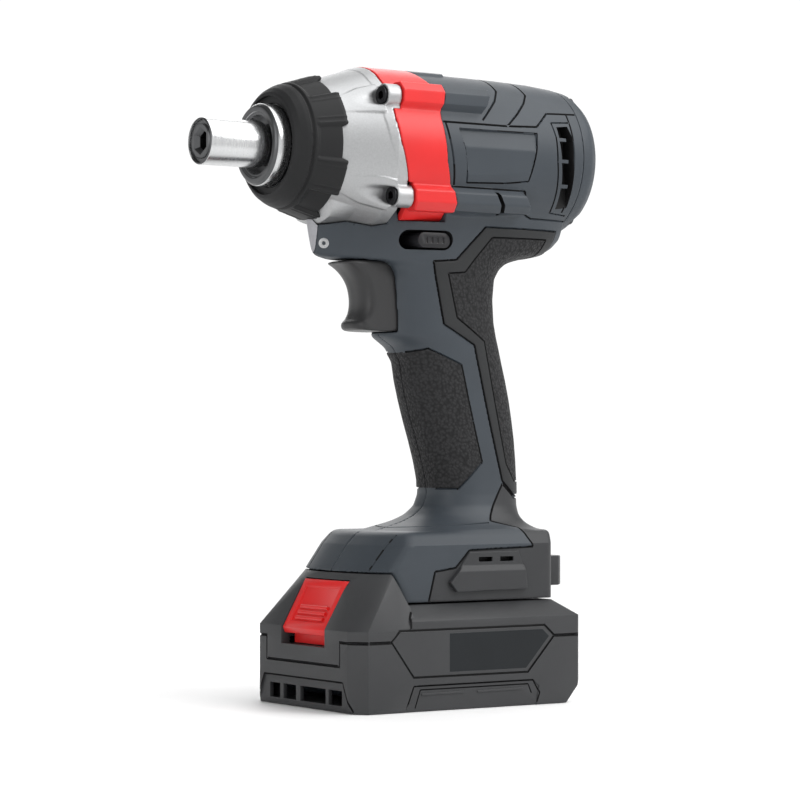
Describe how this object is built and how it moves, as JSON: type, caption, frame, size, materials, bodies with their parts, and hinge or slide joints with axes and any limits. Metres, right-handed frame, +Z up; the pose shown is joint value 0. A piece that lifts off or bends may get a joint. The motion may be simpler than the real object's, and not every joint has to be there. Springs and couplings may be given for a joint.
{
  "type": "cordless impact driver",
  "caption": "Cordless impact driver with a pistol grip, hex bit sleeve, trigger, rubber grips and a slide-on battery pack; its hammer and gear train turn inside.",
  "frame": {"origin": "middle of the overall length and width, on the surface the battery pack stands on", "axes": "+Z up, the bit sleeve points along -X, +Y across the width"},
  "size_m": [0.165, 0.075, 0.241],
  "materials": {
    "housing_plastic": "fine matt moulded, blue-grey",
    "dark_plastic": "satin moulded, dark grey",
    "pack_plastic": "fine matt moulded, neutral grey",
    "red_plastic": "satin red moulded",
    "black_plastic": "satin black moulded",
    "grip_rubber": "pebbled soft moulding",
    "boot_rubber": "matt rubber",
    "cast_alloy": "fine blasted casting",
    "bright_steel": "turned and polished",
    "tool_steel": "hardened, ground",
    "spring_steel": "drawn wire",
    "black_screw": "black oxide",
    "core_steel": "stacked sheet",
    "magnet": "plated",
    "copper": "enamelled wire and strip",
    "board": "lacquered board",
    "lens": "frosted clear moulding",
    "cell_wrap": "shrink sleeve",
    "nickel": "plated strip"
  },
  "bodies": {
    "tool": {"left_housing": "housing_plastic", "right_housing": "housing_plastic", "rear_cap": "housing_plastic", "rear_cap_screws": "black_screw", "housing_screws": "black_screw", "hammer_case": "cast_alloy", "case_screws": "black_screw", "accent_band": "red_plastic", "nose_bumper": "boot_rubber", "nose_bush": "bright_steel", "ring_gear": "tool_steel", "bearing_plate": "cast_alloy", "stator": "core_steel", "windings": "copper", "sensor_board": "board", "front_bearing": "bright_steel", "rear_bearing": "bright_steel", "trigger_switch": "black_plastic", "trigger_spring": "spring_steel", "lamp_lens": "lens", "lamp_board": "board", "nose_pin": "bright_steel", "front_grip": "grip_rubber", "rear_grip": "grip_rubber", "foot_guard": "dark_plastic", "strap_lug": "dark_plastic", "control_module": "black_plastic", "terminal_block": "black_plastic", "tool_blades": "copper"},
    "anvil": {"anvil": "tool_steel", "bit_ball": "bright_steel", "sleeve_ring": "tool_steel", "sleeve_spring": "spring_steel"},
    "sleeve": {"chuck_sleeve": "bright_steel"},
    "hammer": {"hammer": "tool_steel"},
    "carrier": {"cam_carrier": "tool_steel", "cam_balls": "bright_steel", "planet_pins": "tool_steel", "hammer_spring": "spring_steel"},
    "planet_a": {"planet_a": "tool_steel"},
    "planet_b": {"planet_b": "tool_steel"},
    "planet_c": {"planet_c": "tool_steel"},
    "rotor": {"motor_shaft": "tool_steel", "pinion": "tool_steel", "rotor": "core_steel", "rotor_magnets": "magnet", "cooling_fan": "black_plastic"},
    "trigger": {"trigger": "black_plastic"},
    "selector": {"direction_selector": "black_plastic"},
    "battery": {"pack_lower": "pack_plastic", "pack_upper": "pack_plastic", "cell_pack": "cell_wrap", "cell_holder": "black_plastic", "cell_links": "nickel", "pack_board": "board", "pack_contacts": "copper", "button_spring": "spring_steel"},
    "button": {"release_button": "red_plastic"}
  },
  "joints": [
    {"name": "rotor_spin", "type": "hinge", "parent": "tool", "child": "rotor", "pos_m": [0.045, 0, 0.2092], "axis": [1, 0, 0], "continuous": true},
    {"name": "carrier_spin", "type": "hinge", "parent": "tool", "child": "carrier", "pos_m": [0.006, 0, 0.2092], "axis": [1, 0, 0], "continuous": true},
    {"name": "planet_a_spin", "type": "hinge", "parent": "carrier", "child": "planet_a", "pos_m": [0.009, 0, 0.1972], "axis": [1, 0, 0], "continuous": true},
    {"name": "planet_b_spin", "type": "hinge", "parent": "carrier", "child": "planet_b", "pos_m": [0.009, 0.01039, 0.2152], "axis": [1, 0, 0], "continuous": true},
    {"name": "planet_c_spin", "type": "hinge", "parent": "carrier", "child": "planet_c", "pos_m": [0.009, -0.01039, 0.2152], "axis": [1, 0, 0], "continuous": true},
    {"name": "anvil_spin", "type": "hinge", "parent": "tool", "child": "anvil", "pos_m": [-0.04, 0, 0.2092], "axis": [1, 0, 0], "continuous": true},
    {"name": "hammer_retract", "type": "slide", "parent": "carrier", "child": "hammer", "axis": [1, 0, 0], "range_m": [0, 0.007], "stiffness_N_per_m": 9000, "deforming": ["hammer_spring"]},
    {"name": "sleeve_slide", "type": "slide", "parent": "anvil", "child": "sleeve", "axis": [-1, 0, 0], "range_m": [0, 0.0045], "stiffness_N_per_m": 1500, "deforming": ["sleeve_spring"]},
    {"name": "trigger_pull", "type": "slide", "parent": "tool", "child": "trigger", "axis": [1, 0, 0], "range_m": [0, 0.0065], "stiffness_N_per_m": 1200, "deforming": ["trigger_spring"]},
    {"name": "direction_slide", "type": "slide", "parent": "tool", "child": "selector", "axis": [0, 1, 0], "range_m": [-0.003, 0.003]},
    {"name": "battery_slide", "type": "slide", "parent": "tool", "child": "battery", "axis": [-1, 0, 0], "range_m": [0, 0.085]},
    {"name": "release_press", "type": "slide", "parent": "battery", "child": "button", "axis": [0, 0, -1], "range_m": [0, 0.0035], "stiffness_N_per_m": 1200, "deforming": ["button_spring"]}
  ],
  "couplings": [
    {"joint": "carrier_spin", "follows": "rotor_spin", "ratio": 0.2},
    {"joint": "anvil_spin", "follows": "rotor_spin", "ratio": 0.2},
    {"joint": "planet_a_spin", "follows": "rotor_spin", "ratio": -0.53333},
    {"joint": "planet_b_spin", "follows": "rotor_spin", "ratio": -0.53333},
    {"joint": "planet_c_spin", "follows": "rotor_spin", "ratio": -0.53333}
  ]
}
